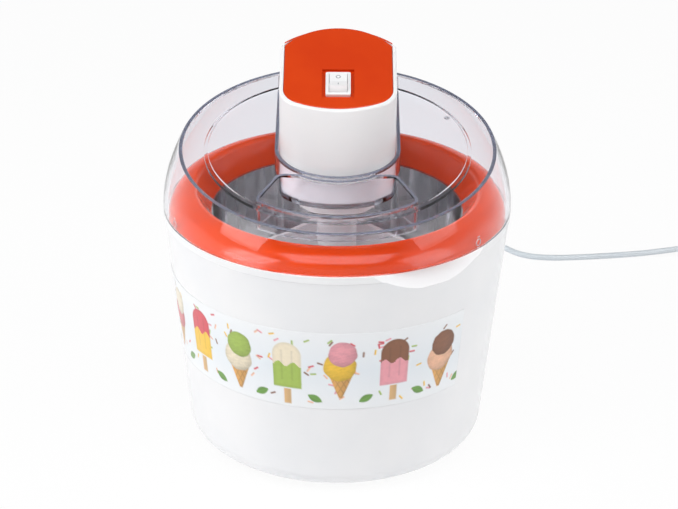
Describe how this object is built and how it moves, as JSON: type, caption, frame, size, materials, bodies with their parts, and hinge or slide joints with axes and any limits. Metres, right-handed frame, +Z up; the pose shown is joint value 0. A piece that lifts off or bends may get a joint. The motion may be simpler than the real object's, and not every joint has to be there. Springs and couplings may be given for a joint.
{
  "type": "ice cream maker",
  "caption": "Tabletop ice cream maker: white tapered bucket, freezing bowl, orange collar, clear domed lid and a motor unit that drives a paddle.",
  "frame": {"origin": "on the floor, on the freezing bowl's axis", "axes": "+Z up along the bowl's axis, -Y towards the front, +X to the right seen from the front"},
  "size_m": [0.42, 0.3821, 0.2446],
  "materials": {
    "white_plastic": "glossy moulded white ABS",
    "orange_plastic": "glossy moulded orange ABS",
    "clear_plastic": "clear polished SAN, faintly tinted",
    "polished_aluminium": "spun and polished aluminium",
    "gel": "sealed freezing gel",
    "rubber": "matt black rubber",
    "grey_rubber": "matt grey silicone rubber",
    "steel": "bright steel",
    "bronze": "sintered bronze",
    "brass": "bright brass",
    "gear_plastic": "natural acetal",
    "copper": "enamelled copper wire",
    "ferrite": "sintered ferrite",
    "cord_plastic": "soft pale grey PVC",
    "tie_plastic": "black hook and loop band",
    "nickel": "nickel-plated brass"
  },
  "bodies": {
    "base": {"outer_bucket": "white_plastic", "rubber_foot_1": "rubber", "rubber_foot_2": "rubber", "rubber_foot_3": "rubber", "rubber_foot_4": "rubber"},
    "bowl": {"bowl_inner": "polished_aluminium", "bowl_outer": "white_plastic", "coolant_gel": "gel", "bowl_rim_seal": "grey_rubber"},
    "collar": {"collar_ring": "orange_plastic"},
    "lid": {"lid_wall": "clear_plastic", "lid_top": "clear_plastic"},
    "paddle": {"paddle": "white_plastic"},
    "motor_unit": {"motor_housing": "white_plastic", "control_panel": "orange_plastic", "motor_base_plate": "white_plastic", "housing_screws": "steel", "switch_body": "white_plastic", "switch_terminals": "brass", "gearbox_plate": "steel", "gearbox_pillars": "steel", "gearbox_screws": "steel", "output_bush": "bronze", "shaft_seal": "grey_rubber", "intermediate_axle": "steel", "motor_can": "steel", "coil_bobbin": "gear_plastic", "coil_winding": "copper", "rotor_bushes": "bronze", "strain_relief": "cord_plastic", "mains_cord_drop": "cord_plastic", "cord_coil": "cord_plastic", "cord_tie": "tie_plastic", "mains_cord_run": "cord_plastic", "plug_body": "cord_plastic", "plug_pins": "nickel"},
    "output": {"output_shaft": "steel", "output_gear": "gear_plastic"},
    "intermediate": {"intermediate_gear": "gear_plastic"},
    "rotor": {"rotor_shaft": "steel", "rotor_magnet": "ferrite", "rotor_pinion": "gear_plastic"},
    "rocker": {"switch_rocker": "white_plastic"}
  },
  "joints": [
    {"name": "bowl_lift", "type": "slide", "parent": "base", "child": "bowl", "axis": [0, 0, 1], "range_m": [0, 0.145]},
    {"name": "collar_turn", "type": "hinge", "parent": "bowl", "child": "collar", "pos_m": [0, 0, 0.15], "axis": [0, 0, 1], "range_deg": [0, 20]},
    {"name": "lid_lift", "type": "slide", "parent": "collar", "child": "lid", "axis": [0, 0, 1], "range_m": [0, 0.14]},
    {"name": "motor_lift", "type": "slide", "parent": "lid", "child": "motor_unit", "axis": [0, 0, 1], "range_m": [0, 0.08]},
    {"name": "paddle_spin", "type": "hinge", "parent": "lid", "child": "paddle", "pos_m": [0, 0, 0.14], "axis": [0, 0, 1], "continuous": true},
    {"name": "output_spin", "type": "hinge", "parent": "motor_unit", "child": "output", "pos_m": [0, 0, 0.16], "axis": [0, 0, 1], "continuous": true},
    {"name": "intermediate_spin", "type": "hinge", "parent": "motor_unit", "child": "intermediate", "pos_m": [0, 0.024, 0.17], "axis": [0, 0, 1], "continuous": true},
    {"name": "rotor_spin", "type": "hinge", "parent": "motor_unit", "child": "rotor", "pos_m": [0, 0.0432, 0.19], "axis": [0, 0, 1], "continuous": true},
    {"name": "rocker_tip", "type": "hinge", "parent": "motor_unit", "child": "rocker", "pos_m": [0, -0.00281, 0.22639], "axis": [1, 0, 0], "range_deg": [0, 18]}
  ],
  "couplings": [
    {"joint": "output_spin", "follows": "paddle_spin", "ratio": 1},
    {"joint": "intermediate_spin", "follows": "paddle_spin", "ratio": -3},
    {"joint": "rotor_spin", "follows": "paddle_spin", "ratio": 9}
  ]
}
